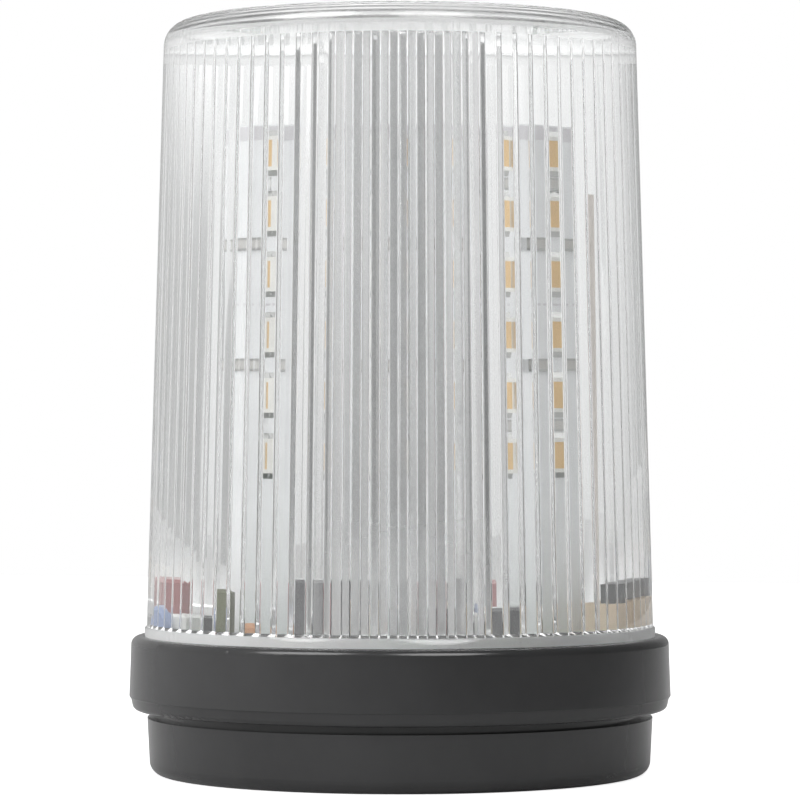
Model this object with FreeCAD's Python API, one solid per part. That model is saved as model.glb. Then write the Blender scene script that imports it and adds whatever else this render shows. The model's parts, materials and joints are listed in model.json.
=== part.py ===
import FreeCAD
import Part
import math
import os

# Flashing warning lamp: a clear prism-fluted lens in a bayonet collar, over a square
# tower of LED boards that stands on a control board in a round base.
# Millimetres, +Z up, origin at the centre of the underside of the base.
# An azimuth counts in degrees from the front (-Y) towards +X.

# Lens
lens_foot_r = 42.1          # outer radius at the lower end of the flutes
lens_draft = 1.65           # taper of the wall, degrees from upright
lens_wall = 1.4             # wall left at the bottom of each flute
flute_count = 84
flute_angle = 80.0          # included angle of each V, degrees
flute_len = 95.3
flute_runout = 1.8          # plain bore between the flutes and the roof
roof_t = 3.0                # roof thickness at the rim
lens_crown = 1.0            # rise of the roof from its rim to its centre
lens_rim_round = 4.0
clear_band = 1.5            # height of the foot bead that shows above the collar
bead_reach = 0.35           # how far the foot bead stands out of the wall

# Seal between lens foot and neck
seal_gap = 0.3              # running clearance, seal to lens bore
seal_proud = 0.4            # how far the seal stands out of its groove
seal_w = 1.6
seal_h = 1.6
seal_side_gap = 0.1
seal_chamfer = 0.3

# Base body
floor_t = 2.5
base_h = 9.4                # height of the shoulder under the collar
base_draft = 3.0            # taper of the base wall, degrees
base_edge = 2.2             # rounding of the foot
shoulder_w = 2.0            # width of the shoulder round the neck
neck_wall = 2.4
neck_drop = 1.3             # neck top below the collar top

# Bayonet
lug_count = 4
lug_first = 45.0            # azimuth of the first lug
lug_reach = 2.7             # how far a lug stands out of the neck
lug_t = 2.4
lug_half = 12.0             # half width of a lug, degrees
stop_w = 3.0                # width of the stop rib, degrees
hook_t = 2.5
hook_half = 11.5            # half width of a hook, degrees
hook_lift = 0.25            # hook above the collar's lower edge
hook_gap = 0.5              # radial clearance, hook to neck
play = 0.3                  # vertical clearance above and below each lug
root = 0.3                  # overlap where a lug or hook grows out of its wall

# Collar ring
collar_wall = 1.7
collar_draft = 2.0          # taper of the collar's side, degrees
collar_gap = 1.35           # shadow gap, shoulder to collar
lug_gap = 0.6               # radial clearance, lug to collar
flange_gap = 0.15           # lens flange to collar bore
flange_t = 3.6
lip_t = 2.8
lip_gap = 0.15              # foot bead to the lip of the collar
collar_foot_h = 2.1         # height of the tapered band at the foot of the collar
collar_foot_taper = 0.7
collar_foot_round = 1.0
collar_step = 0.25          # how far the side stands out over the tapered band
collar_step_round = 0.15
collar_top_round = 1.4
round_limit = 0.95          # most of a wall's width that a rounding may take

# Wall fixing
mount_spacing = 54.0
mount_hole_r = 2.3
mount_pad_r = 5.0
mount_pad_h = 1.0
driver_hole_r = 4.2         # screwdriver access through the control board

# Cable inlet
cable_azimuth = 180.0
cable_r = 3.5
cable_inset = 9.6           # inlet centre from the neck bore
grommet_r = 6.0
grommet_flange_r = 8.0
grommet_lower_t = 1.0
grommet_lift = 0.2          # lower flange above the wall the base stands on
grommet_upper_t = 2.5
grommet_tip_r = 5.2
grommet_gap = 0.2

# Control board
board_t = 1.6
board_gap = 1.2             # board edge to neck bore
boss_h = 12.5               # boss above the floor
boss_r = 3.2
boss_inset = 4.4            # boss centre from the board edge
boss_azimuths = (50.0, 130.0, 230.0, 310.0)
screw_r = 1.4
screw_gap = 0.1
screw_len = 9.0             # below the head
screw_head_r = 2.7
screw_head_h = 1.8
screw_head_bevel = 0.7
pilot_extra = 1.0           # pilot hole below the screw point
notch_w = 14.0              # cable notch in the edge
notch_reach = 4.0           # notch past the inlet centre

# LED tower
tower_w = 11.6              # side of the carrier and width of a board
led_board_t = 1.2
post_wall = 1.6
post_floor = 2.0
post_peg_r = 3.0
peg_gap = 0.1
tower_headroom = 14.5       # roof above the tower
tab_w = 5.0
tab_gap = 0.1
led_rows = 6
led_pitch = 10.0
led_top_margin = 4.7
led_w = 3.0
led_h = 5.7
led_t = 0.8
window_w = 2.1
window_h = 4.4
window_depth = 0.25
phosphor_t = 0.2
chip_w = 1.3
chip_h = 2.0
chip_t = 0.55
chip_side = 4.2             # side chips from the centre line
mid_chip_gaps = (0, 4)      # gaps between LED rows, counted from the top
side_chip_gaps = (1, 3)

# Terminal block
pole_count = 4
pole_pitch = 5.1
terminal_d = 8.2
terminal_h = 7.4
terminal_gap = 0.6          # block from the cable notch
terminal_bevel = 0.9
wire_hole_w = 3.6
wire_hole_h = 3.6
wire_hole_lift = 1.0
wire_hole_depth = 5.0
terminal_screw_r = 1.7
terminal_screw_h = 2.2
terminal_screw_sunk = 0.5
screw_slot_w = 0.6
screw_slot_depth = 0.6
terminal_hole_gap = 0.1

# Components on the control board. An inset counts from the edge of the board to the middle
# of the component. A side counts from the end of the terminal block, and a back from its middle.
big_cap_azimuth = 0.0
big_cap_inset = 4.9
big_cap_r = 3.15
big_cap_h = 16.6
small_cap_azimuth = 33.0
small_cap_inset = 9.4
small_cap_r = 3.0
small_cap_h = 11.9
cap_bead_z = 1.2            # start of the rolled bead above the board
cap_bead_h = 0.9
cap_bead_depth = 0.35
cap_bevel = 0.5
transformer_turn = -63.0     # degrees from the terminal block's own facing
transformer_side = 7.62
transformer_back = 10.22
core_w = 16.0
core_d = 5.0
core_h = 14.4
core_bar = 2.8
winding_d = 12.0
winding_gap = 0.1
winding_round = 1.5
rectifier_turn = 45.0        # degrees from the terminal block's own facing
rectifier_side = 6.1
rectifier_back = 3.0
rectifier_w = 10.0
rectifier_d = 4.5
rectifier_h = 7.0
rectifier_bevel = 2.0
varistor_azimuth = 290.0
varistor_inset = 7.4
varistor_r = 4.0
varistor_t = 3.5
varistor_lead = 2.9
disc_azimuth = 339.0
disc_inset = 4.9
disc_r = 2.4
disc_t = 2.0
disc_lead = 4.6
disc_bevel = 0.7
lead_r = 0.35
lead_share = 0.55           # lead spacing against the disc radius
film_cap_azimuth = 258.0
film_cap_inset = 17.2
film_cap_w = 9.0
film_cap_d = 5.5
film_cap_h = 14.6
film_cap_bevel = 0.6
choke_azimuth = 329.0
choke_inset = 5.4
choke_r = 2.0
choke_h = 14.6
jumper_azimuth = 298.0
jumper_inset = 12.9
jumper_w = 5.0
jumper_h = 9.5
jumper_bevel = 0.4
driver_azimuth = 345.0
driver_inset = 12.4
driver_w = 8.7
driver_d = 4.0
driver_h = 1.75
aerial_azimuth = 73.0
aerial_inset = 6.9
aerial_w = 5.0
aerial_h = 7.0
aerial_r = 0.6
aerial_drop = 12.0          # aerial tip below the tower top
aerial_seat = 3.0           # wire held in its terminal

# Heights worked out from the sizes above
Z = FreeCAD.Vector(0, 0, 1)
ORIGIN = FreeCAD.Vector(0, 0, 0)
collar_bottom = base_h + collar_gap
hook_low = collar_bottom + hook_lift
hook_high = hook_low + hook_t
lug_low = hook_high + play
lug_high = lug_low + lug_t
lens_foot = lug_high + play
lip_low = lens_foot + flange_t
collar_top = lip_low + lip_t
flute_low = collar_top + clear_band
flute_high = flute_low + flute_len
roof_low = flute_high + flute_runout
rim_top = roof_low + roof_t
lens_top = rim_top + lens_crown
neck_top = collar_top - neck_drop
seal_z = (lens_foot + neck_top) / 2
board_low = floor_t + boss_h
board_top = board_low + board_t
tower_top = roof_low - tower_headroom

# Radii worked out from the sizes above
lens_bore_r = lens_foot_r - lens_wall
seal_r = lens_bore_r - seal_gap
groove_r = seal_r - seal_w
neck_r = seal_r - seal_proud
neck_bore_r = neck_r - neck_wall
base_r = neck_r + shoulder_w
lug_r = neck_r + lug_reach
collar_bore_r = lug_r + lug_gap
collar_r = collar_bore_r + collar_wall
flange_r = collar_bore_r - flange_gap
bead_r = lens_foot_r + bead_reach
board_r = neck_bore_r - board_gap
boss_ring_r = board_r - boss_inset
cable_ring_r = neck_bore_r - cable_inset
tower_face = tower_w / 2 + led_board_t
terminal_w = pole_count * pole_pitch

# Places on the control board: azimuth and distance of the middle from the axis
big_cap_place = (big_cap_azimuth, board_r - big_cap_inset)
small_cap_place = (small_cap_azimuth, board_r - small_cap_inset)
varistor_place = (varistor_azimuth, board_r - varistor_inset)
disc_place = (disc_azimuth, board_r - disc_inset)
film_cap_place = (film_cap_azimuth, board_r - film_cap_inset)
choke_place = (choke_azimuth, board_r - choke_inset)
jumper_place = (jumper_azimuth, board_r - jumper_inset)
driver_place = (driver_azimuth, board_r - driver_inset)
aerial_place = (aerial_azimuth, board_r - aerial_inset)

FACES = ("front", "right", "back", "left")


def vec(x, y, z):
    return FreeCAD.Vector(x, y, z)


def polar(azimuth, radius, z=0.0):
    """Point at an azimuth, a distance from the axis and a height."""
    a = math.radians(azimuth)
    return vec(radius * math.sin(a), -radius * math.cos(a), z)


def turned(shape, azimuth):
    """Copy of a shape, turned about the lamp's axis."""
    copy = shape.copy()
    copy.rotate(ORIGIN, Z, azimuth)
    return copy


def moved(shape, x, y, z):
    copy = shape.copy()
    copy.translate(vec(x, y, z))
    return copy


def cylinder(radius, low, high, x=0.0, y=0.0):
    return Part.makeCylinder(radius, high - low, vec(x, y, low))


def block(width, depth, height, bevel=0.0):
    """Box centred on the Z axis, standing on z = 0, with bevelled upright and top edges."""
    box = Part.makeBox(width, depth, height, vec(-width / 2, -depth / 2, 0))
    if not bevel:
        return box
    free_edges = [e for e in box.Edges if e.BoundBox.ZMax > bevel]
    return box.makeChamfer(bevel, free_edges)


def rounded_wire(corners):
    """Closed wire in the XZ plane through (radius, height, rounding) corners."""
    points = [vec(r, 0, z) for r, z, _ in corners]
    count = len(points)
    joints = []
    for i, here in enumerate(points):
        rounding = corners[i][2]
        if not rounding:
            joints.append((here, None, here))
            continue
        back = (points[i - 1] - here).normalize()
        ahead = (points[(i + 1) % count] - here).normalize()
        half = back.getAngle(ahead) / 2
        reach = rounding / math.tan(half)
        inward = (back + ahead).normalize()
        middle = here + inward * (rounding / math.sin(half) - rounding)
        joints.append((here + back * reach, middle, here + ahead * reach))
    edges = []
    for i, (start, middle, end) in enumerate(joints):
        if middle is not None:
            edges.append(Part.Arc(start, middle, end).toShape())
        edges.append(Part.makeLine(end, joints[(i + 1) % count][0]))
    return Part.Wire(edges)


def revolved(corners, start=-180.0, sweep=360.0):
    """Solid of revolution about the axis, from an azimuth through a sweep."""
    solid = Part.Face(rounded_wire(corners)).revolve(ORIGIN, Z, sweep)
    return turned(solid, start - 90.0)


def ring_sector(inner_r, outer_r, low, high, azimuth, half):
    """Piece of a flat ring, centred on an azimuth."""
    corners = [(inner_r, low, 0), (outer_r, low, 0), (outer_r, high, 0), (inner_r, high, 0)]
    return revolved(corners, azimuth - half, 2 * half)


def lens_radius(z):
    """Outer radius of the lens wall at a height."""
    return lens_foot_r - (z - flute_low) * math.tan(math.radians(lens_draft))


def valley_radius(z):
    """Radius of the bore at the bottom of the flutes."""
    return lens_radius(z) - lens_wall


def crest_radius(z):
    """Radius of the bore at the ridges between the flutes."""
    half_pitch = math.pi / flute_count
    slope = 1 / math.tan(math.radians(flute_angle / 2))
    return valley_radius(z) * (math.cos(half_pitch) - math.sin(half_pitch) * slope)


def flute_section(z):
    """Corners of the fluted bore at a height: a valley, then a crest, and so on round."""
    corners = []
    for i in range(2 * flute_count):
        radius = crest_radius(z) if i % 2 else valley_radius(z)
        corners.append(polar(i * 180.0 / flute_count, radius, z))
    return corners


def fluted_core():
    """Solid with the form of the fluted bore: flat tapering facets between two sections."""
    low = flute_section(flute_low)
    high = flute_section(flute_high)
    count = len(low)
    outlines = [low + low[:1], high + high[:1]]
    for i in range(count):
        j = (i + 1) % count
        outlines.append([low[i], low[j], high[j], high[i], low[i]])
    shell = Part.makeShell([Part.Face(Part.makePolygon(points)) for points in outlines])
    shell.sewShape()
    return Part.makeSolid(shell)


def make_lens():
    """Clear cap with a foot flange and bead, a crowned roof and the prism flutes inside."""
    rim_r = lens_radius(rim_top)
    wall = revolved([
        (0, lens_foot, 0), (flange_r, lens_foot, 0), (flange_r, lip_low, 0),
        (bead_r, lip_low, 0), (bead_r, flute_low, 0), (lens_foot_r, flute_low, 0),
        (lens_radius(lens_top), lens_top, 0), (0, lens_top, 0),
    ])
    dome_r = (rim_r ** 2 + lens_crown ** 2) / (2 * lens_crown)
    body = wall.common(Part.makeSphere(dome_r, vec(0, 0, lens_top - dome_r)))
    top_edges = [e for e in body.Edges if e.BoundBox.ZMin > roof_low and not e.Degenerated]
    rim = [e for e in top_edges if e.BoundBox.ZLength < lens_crown / 2]
    body = body.makeFillet(lens_rim_round, rim)
    foot_bore = cylinder(lens_bore_r, lens_foot, flute_low)
    runout = cylinder(crest_radius(flute_high), flute_high, roof_low)
    return body.cut([foot_bore, runout]).cut(fluted_core())


def make_collar_ring():
    """Ring with a stepped-in foot, a rounded lip over the lens flange and inner bayonet hooks."""
    lip_r = bead_r + lip_gap
    foot_r = collar_r - collar_foot_taper
    crease_z = collar_bottom + collar_foot_h
    top_r = collar_r - (collar_top - crease_z) * math.tan(math.radians(collar_draft))
    foot_round = min(collar_foot_round, round_limit * (foot_r - collar_bore_r))
    top_round = min(collar_top_round, round_limit * (top_r - lip_r))
    ring = revolved([
        (collar_bore_r, collar_bottom, 0), (foot_r, collar_bottom, foot_round),
        (collar_r - collar_step, crease_z, 0), (collar_r, crease_z, collar_step_round),
        (top_r, collar_top, top_round), (lip_r, collar_top, 0), (lip_r, lip_low, 0),
        (collar_bore_r, lip_low, 0),
    ])
    hooks = []
    for i in range(lug_count):
        azimuth = lug_first + i * 360.0 / lug_count
        hooks.append(ring_sector(neck_r + hook_gap, collar_bore_r + root,
                                 hook_low, hook_high, azimuth, hook_half))
    return ring.fuse(hooks).removeSplitter()


def neck_profile():
    """Corners of the base: foot, shoulder, neck with the seal groove, bore and floor."""
    groove_half = seal_h / 2 + seal_side_gap
    foot_r = base_r - base_h * math.tan(math.radians(base_draft))
    return [
        (0, 0, 0), (foot_r, 0, base_edge), (base_r, base_h, 0), (neck_r, base_h, 0),
        (neck_r, seal_z - groove_half, 0), (groove_r, seal_z - groove_half, 0),
        (groove_r, seal_z + groove_half, 0), (neck_r, seal_z + groove_half, 0),
        (neck_r, neck_top, 0), (neck_bore_r, neck_top, 0),
        (neck_bore_r, floor_t, 0), (0, floor_t, 0),
    ]


def make_base_body():
    """Round cup with bayonet lugs, board bosses, fixing holes and a cable inlet."""
    added = []
    for i in range(lug_count):
        azimuth = lug_first + i * 360.0 / lug_count
        added.append(ring_sector(neck_r - root, lug_r, lug_low, lug_high, azimuth, lug_half))
        added.append(ring_sector(neck_r - root, lug_r, hook_low, lug_high,
                                 azimuth - lug_half - stop_w / 2, stop_w / 2))
    holes = []
    for azimuth in boss_azimuths:
        at = polar(azimuth, boss_ring_r)
        added.append(cylinder(boss_r, floor_t - root, board_low, at.x, at.y))
        pilot_low = board_top - screw_len - pilot_extra
        holes.append(cylinder(screw_r + screw_gap, pilot_low, board_low, at.x, at.y))
    for side in (-1, 1):
        x = side * mount_spacing / 2
        added.append(cylinder(mount_pad_r, floor_t - root, floor_t + mount_pad_h, x, 0))
        holes.append(cylinder(mount_hole_r, 0, floor_t + mount_pad_h, x, 0))
    recess = grommet_lift + grommet_lower_t
    inlet = polar(cable_azimuth, cable_ring_r)
    holes.append(cylinder(grommet_r, 0, floor_t, inlet.x, inlet.y))
    holes.append(cylinder(grommet_flange_r + grommet_gap, 0, recess, inlet.x, inlet.y))
    return revolved(neck_profile()).fuse(added).removeSplitter().cut(holes)


def make_neck_seal():
    low = seal_z - seal_h / 2
    high = seal_z + seal_h / 2
    return revolved([
        (groove_r, low, 0), (seal_r - seal_chamfer, low, 0), (seal_r, low + seal_chamfer, 0),
        (seal_r, high - seal_chamfer, 0), (seal_r - seal_chamfer, high, 0), (groove_r, high, 0),
    ])


def make_cable_grommet():
    """Rubber inlet with a flange on each side of the floor."""
    web_low = grommet_lift + grommet_lower_t
    top = floor_t + grommet_upper_t
    inlet = revolved([
        (cable_r, grommet_lift, 0), (grommet_flange_r, grommet_lift, 0),
        (grommet_flange_r, web_low, 0), (grommet_r, web_low, 0), (grommet_r, floor_t, 0),
        (grommet_flange_r, floor_t, 0), (grommet_tip_r, top, 0), (cable_r, top, 0),
    ])
    return turned(moved(inlet, 0, -cable_ring_r, 0), cable_azimuth)


def make_control_board():
    """Round board with the cable notch, the tower's slots and its screw and driver holes."""
    board = cylinder(board_r, board_low, board_top)
    notch_in = cable_ring_r - notch_reach
    notch = moved(block(notch_w, board_r, board_t), 0, -notch_in - board_r / 2, board_low)
    holes = [turned(notch, cable_azimuth)]
    for azimuth in boss_azimuths:
        at = polar(azimuth, boss_ring_r)
        holes.append(cylinder(screw_r + screw_gap, board_low, board_top, at.x, at.y))
    for side in (-1, 1):
        holes.append(cylinder(driver_hole_r, board_low, board_top, side * mount_spacing / 2, 0))
    holes.append(cylinder(post_peg_r + peg_gap, board_low, board_top))
    slot = block(tab_w + 2 * tab_gap, led_board_t + 2 * tab_gap, board_t)
    slot = moved(slot, 0, -tower_face + led_board_t / 2, board_low)
    for i in range(len(FACES)):
        holes.append(turned(slot, i * 90.0))
    return board.cut(holes)


def make_board_screws():
    """Pan-head screws, one in each boss."""
    screws = []
    for azimuth in boss_azimuths:
        head_high = board_top + screw_head_h
        screw = revolved([
            (0, board_top - screw_len, 0), (screw_r, board_top - screw_len, 0),
            (screw_r, board_top, 0), (screw_head_r, board_top, 0),
            (screw_head_r, head_high - screw_head_bevel, 0),
            (screw_head_r - screw_head_bevel, head_high, 0), (0, head_high, 0),
        ])
        at = polar(azimuth, boss_ring_r)
        screws.append(moved(screw, at.x, at.y, 0))
    return Part.makeCompound(screws)


def make_led_post():
    """Square carrier tube, open at the top, with a peg into the control board."""
    height = tower_top - board_top
    tube = block(tower_w, tower_w, height)
    hollow_w = tower_w - 2 * post_wall
    tube = tube.cut(moved(block(hollow_w, hollow_w, height), 0, 0, post_floor))
    return moved(tube, 0, 0, board_top).fuse(cylinder(post_peg_r, board_low, board_top))


def led_row_z(row):
    return tower_top - led_top_margin - row * led_pitch


def on_front(shape, x, z, lift=0.0):
    """Place a block, made upright on z = 0, on the front face of the tower."""
    flat = shape.copy()
    flat.rotate(ORIGIN, vec(1, 0, 0), 90)
    return moved(flat, x, -tower_face - lift, z)


def make_led_board():
    """Front board: a strip with a tab that stands in a slot of the control board."""
    strip = block(tower_w, led_board_t, tower_top - board_top)
    tab = moved(block(tab_w, led_board_t, board_t), 0, 0, -board_t)
    return moved(strip.fuse(tab).removeSplitter(), 0, -tower_face + led_board_t / 2, board_top)


def make_leds():
    """Front LED packages: a white body with a sunk window."""
    body = block(led_w, led_h, led_t)
    body = body.cut(moved(block(window_w, window_h, window_depth), 0, 0, led_t - window_depth))
    return Part.makeCompound([on_front(body, 0, led_row_z(i)) for i in range(led_rows)])


def make_led_phosphors():
    """Front phosphor fills, one in each LED window."""
    fill = block(window_w, window_h, phosphor_t)
    lift = led_t - window_depth
    return Part.makeCompound([on_front(fill, 0, led_row_z(i), lift) for i in range(led_rows)])


def make_led_chips():
    """Front chips: on the centre line or at both sides, between rows of LEDs."""
    chip = block(chip_w, chip_h, chip_t)
    chips = []
    for gap in mid_chip_gaps:
        chips.append(on_front(chip, 0, led_row_z(gap) - led_pitch / 2))
    for gap in side_chip_gaps:
        for side in (-1, 1):
            chips.append(on_front(chip, side * chip_side, led_row_z(gap) - led_pitch / 2))
    return Part.makeCompound(chips)


def on_board(shape, place):
    """Stand a shape on the control board, turned to face the board's edge."""
    azimuth, radius = place
    return turned(moved(shape, 0, -radius, board_top), azimuth)


def terminal_centre_y():
    return -(cable_ring_r - notch_reach - terminal_gap - terminal_d / 2)


def by_terminal(shape, side, back, turn):
    """Stand a turned shape on the control board, beside the terminal block."""
    return turned(moved(turned(shape, turn), side, terminal_centre_y() + back, board_top), cable_azimuth)


def pole_offsets():
    return [(i - (pole_count - 1) / 2) * pole_pitch for i in range(pole_count)]


def make_terminal_block():
    """Housing with a sloping front, wire mouths and a screw hole over each pole."""
    back = terminal_d / 2
    outline = [
        vec(0, -back, 0), vec(0, back, 0), vec(0, back, terminal_h),
        vec(0, terminal_bevel - back, terminal_h), vec(0, -back, terminal_h - 2 * terminal_bevel),
        vec(0, -back, 0),
    ]
    housing = Part.Face(Part.makePolygon(outline)).extrude(vec(terminal_w, 0, 0))
    housing = moved(housing, -terminal_w / 2, 0, 0)
    mouth = block(wire_hole_w, wire_hole_depth, wire_hole_h)
    holes = []
    for x in pole_offsets():
        holes.append(moved(mouth, x, -back + wire_hole_depth / 2, wire_hole_lift))
        holes.append(cylinder(terminal_screw_r + terminal_hole_gap,
                              terminal_h - terminal_screw_h - terminal_screw_sunk,
                              terminal_h, x, terminal_bevel / 2))
    return turned(moved(housing.cut(holes), 0, terminal_centre_y(), board_top), cable_azimuth)


def make_terminal_screws():
    """Slotted clamp screws, one over each pole."""
    high = terminal_h - terminal_screw_sunk
    screw = cylinder(terminal_screw_r, high - terminal_screw_h, high)
    slot = block(screw_slot_w, 2 * terminal_screw_r, screw_slot_depth)
    screw = screw.cut(moved(slot, 0, 0, high - screw_slot_depth))
    y = terminal_centre_y() + terminal_bevel / 2
    screws = Part.makeCompound([moved(screw, x, y, board_top) for x in pole_offsets()])
    return turned(screws, cable_azimuth)


def can_capacitor(radius, height):
    """Sleeved can with a rolled bead near its foot."""
    return revolved([
        (0, 0, 0), (radius, 0, 0), (radius, cap_bead_z, 0),
        (radius - cap_bead_depth, cap_bead_z + cap_bead_h / 2, 0),
        (radius, cap_bead_z + cap_bead_h, 0), (radius, height - cap_bevel, 0),
        (radius - cap_bevel, height, 0), (0, height, 0),
    ])


def transformer_at(shape):
    return by_terminal(shape, -terminal_w / 2 - transformer_side, transformer_back, transformer_turn)


def make_transformer_core():
    """Ferrite frame round the winding."""
    window = block(core_w - 2 * core_bar, core_d, core_h - 2 * core_bar)
    frame = block(core_w, core_d, core_h).cut(moved(window, 0, 0, core_bar))
    return transformer_at(frame)


def make_transformer_winding():
    """Taped winding that fills the window of the core and stands out on both sides."""
    width = core_w - 2 * core_bar - 2 * winding_gap
    height = core_h - 2 * core_bar - 2 * winding_gap
    winding = block(width, winding_d, height)
    upright = [e for e in winding.Edges if e.BoundBox.ZLength > height / 2]
    winding = winding.makeFillet(winding_round, upright)
    return transformer_at(moved(winding, 0, 0, core_bar + winding_gap))


def make_bridge_rectifier():
    """Flat upright package with one bevelled corner."""
    half = rectifier_w / 2
    outline = [
        vec(-half, 0, 0), vec(half, 0, 0), vec(half, 0, rectifier_h - rectifier_bevel),
        vec(half - rectifier_bevel, 0, rectifier_h), vec(-half, 0, rectifier_h), vec(-half, 0, 0),
    ]
    body = Part.Face(Part.makePolygon(outline)).extrude(vec(0, rectifier_d, 0))
    side = terminal_w / 2 + rectifier_side
    return by_terminal(moved(body, 0, -rectifier_d / 2, 0), side, rectifier_back, rectifier_turn)


def leaded_disc(radius, thickness, lead_len):
    """Disc with bevelled edges, standing on two leads."""
    disc = revolved([
        (0, 0, 0), (radius - disc_bevel, 0, 0), (radius, disc_bevel, 0),
        (radius, thickness - disc_bevel, 0), (radius - disc_bevel, thickness, 0),
        (0, thickness, 0),
    ])
    disc.rotate(ORIGIN, vec(1, 0, 0), 90)
    disc = moved(disc, 0, thickness / 2, lead_len + radius)
    leads = []
    for side in (-1, 1):
        leads.append(cylinder(lead_r, 0, lead_len + radius, side * lead_share * radius, 0))
    return disc.fuse(leads)


def make_aerial_wire():
    """Straight wire standing in its terminal, up to just below the tower's top."""
    at = polar(*aerial_place)
    low = board_top + aerial_h - aerial_seat
    return cylinder(aerial_r, low, tower_top - aerial_drop, at.x, at.y)


def make_aerial_terminal():
    housing = block(aerial_w, aerial_w, aerial_h, jumper_bevel)
    hole = cylinder(aerial_r, aerial_h - aerial_seat, aerial_h)
    return on_board(housing.cut(hole), aerial_place)


nodes = {
    "lens": make_lens(),
    "collar_ring": make_collar_ring(),
    "base_body": make_base_body(),
    "neck_seal": make_neck_seal(),
    "cable_grommet": make_cable_grommet(),
    "control_board": make_control_board(),
    "board_screws": make_board_screws(),
    "led_post": make_led_post(),
    "terminal_block": make_terminal_block(),
    "terminal_screws": make_terminal_screws(),
    "electrolytic_large": on_board(can_capacitor(big_cap_r, big_cap_h), big_cap_place),
    "electrolytic_small": on_board(can_capacitor(small_cap_r, small_cap_h), small_cap_place),
    "transformer_core": make_transformer_core(),
    "transformer_winding": make_transformer_winding(),
    "bridge_rectifier": make_bridge_rectifier(),
    "varistor": on_board(leaded_disc(varistor_r, varistor_t, varistor_lead), varistor_place),
    "disc_capacitor": on_board(leaded_disc(disc_r, disc_t, disc_lead), disc_place),
    "film_capacitor": on_board(block(film_cap_w, film_cap_d, film_cap_h, film_cap_bevel),
                               film_cap_place),
    "choke": on_board(can_capacitor(choke_r, choke_h), choke_place),
    "jumper_block": on_board(block(jumper_w, jumper_w, jumper_h, jumper_bevel), jumper_place),
    "driver_chip": on_board(block(driver_w, driver_d, driver_h), driver_place),
    "aerial_terminal": make_aerial_terminal(),
    "aerial_wire": make_aerial_wire(),
}
for index, face in enumerate(FACES):
    azimuth = index * 90.0
    nodes["led_board_" + face] = turned(make_led_board(), azimuth)
    nodes["leds_" + face] = turned(make_leds(), azimuth)
    nodes["led_phosphors_" + face] = turned(make_led_phosphors(), azimuth)
    nodes["led_chips_" + face] = turned(make_led_chips(), azimuth)

os.makedirs("parts", exist_ok=True)
for name, shape in nodes.items():
    shape.exportStep(os.path.join("parts", name + ".step"))
    print(name, len(shape.Solids), shape.isValid(), round(shape.Volume, 1))
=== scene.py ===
import json
import math

import bmesh
import bpy
from mathutils import Matrix, Vector


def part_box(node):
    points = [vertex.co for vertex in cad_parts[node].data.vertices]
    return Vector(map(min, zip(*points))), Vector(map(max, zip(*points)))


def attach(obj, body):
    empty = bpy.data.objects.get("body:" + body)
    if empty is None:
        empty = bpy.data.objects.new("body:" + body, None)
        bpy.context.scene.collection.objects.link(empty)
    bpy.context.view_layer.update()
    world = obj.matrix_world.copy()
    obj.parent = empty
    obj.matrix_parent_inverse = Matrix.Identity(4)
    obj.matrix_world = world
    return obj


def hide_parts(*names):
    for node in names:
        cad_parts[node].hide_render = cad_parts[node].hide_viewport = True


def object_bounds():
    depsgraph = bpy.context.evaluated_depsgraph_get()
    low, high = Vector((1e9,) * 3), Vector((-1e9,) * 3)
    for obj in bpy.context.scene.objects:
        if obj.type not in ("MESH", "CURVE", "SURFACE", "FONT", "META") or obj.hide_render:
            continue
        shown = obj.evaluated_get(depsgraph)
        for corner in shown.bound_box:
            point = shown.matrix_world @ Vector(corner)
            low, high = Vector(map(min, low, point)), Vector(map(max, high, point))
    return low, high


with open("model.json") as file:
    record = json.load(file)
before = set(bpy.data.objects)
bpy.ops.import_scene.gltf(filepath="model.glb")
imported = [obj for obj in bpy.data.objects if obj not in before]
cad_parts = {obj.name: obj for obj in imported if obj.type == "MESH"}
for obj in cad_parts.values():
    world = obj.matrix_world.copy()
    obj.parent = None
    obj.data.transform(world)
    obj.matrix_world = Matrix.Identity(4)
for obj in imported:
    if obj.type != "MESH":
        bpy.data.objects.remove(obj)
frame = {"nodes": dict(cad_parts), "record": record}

# Flashing warning lamp: the looks of a clear prism-fluted lens in a twist-lock collar, over a
# square tower of LED boards. Metres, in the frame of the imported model. An azimuth counts from
# the front (-Y) towards +X.

MM = 0.001
cad_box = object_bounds()
nodes = frame["nodes"]

# Lens sizes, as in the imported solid
FLUTE_COUNT = 84
FLUTE_ANGLE = math.radians(80.0)
FLUTE_LEN = 95.3 * MM
FLUTE_RUNOUT = 1.8 * MM
ROOF_T = 3.0 * MM
LENS_CROWN = 1.0 * MM
LENS_RIM_ROUND = 4.0 * MM
LENS_DRAFT = math.radians(1.65)
LENS_WALL = 1.4 * MM
LENS_FOOT_R = 42.1 * MM
FLANGE_R = 43.15 * MM
FLANGE_T = 3.6 * MM
BEAD_R = 42.45 * MM
BEAD_ROUND = 0.15 * MM
CLEAR_BAND = 1.5 * MM
FLUTE_SLOPE = 0.45 * MM
VALLEY_ROUND = 0.20 * MM
CREST_ROUND = 0.15 * MM
VALLEY_STEPS = 4
CREST_STEPS = 3
RIM_STEPS = 12
CROWN_STEPS = 5
RIM_SETTLE_STEPS = 20
LENS_SHARP_ANGLE = math.radians(60.0)

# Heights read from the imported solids
LENS_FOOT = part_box("lens")[0].z
LENS_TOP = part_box("lens")[1].z
COLLAR_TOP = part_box("collar_ring")[1].z
FLUTE_LOW = COLLAR_TOP + CLEAR_BAND
FLUTE_HIGH = FLUTE_LOW + FLUTE_LEN
ROOF_LOW = FLUTE_HIGH + FLUTE_RUNOUT
RIM_TOP = ROOF_LOW + ROOF_T

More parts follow.
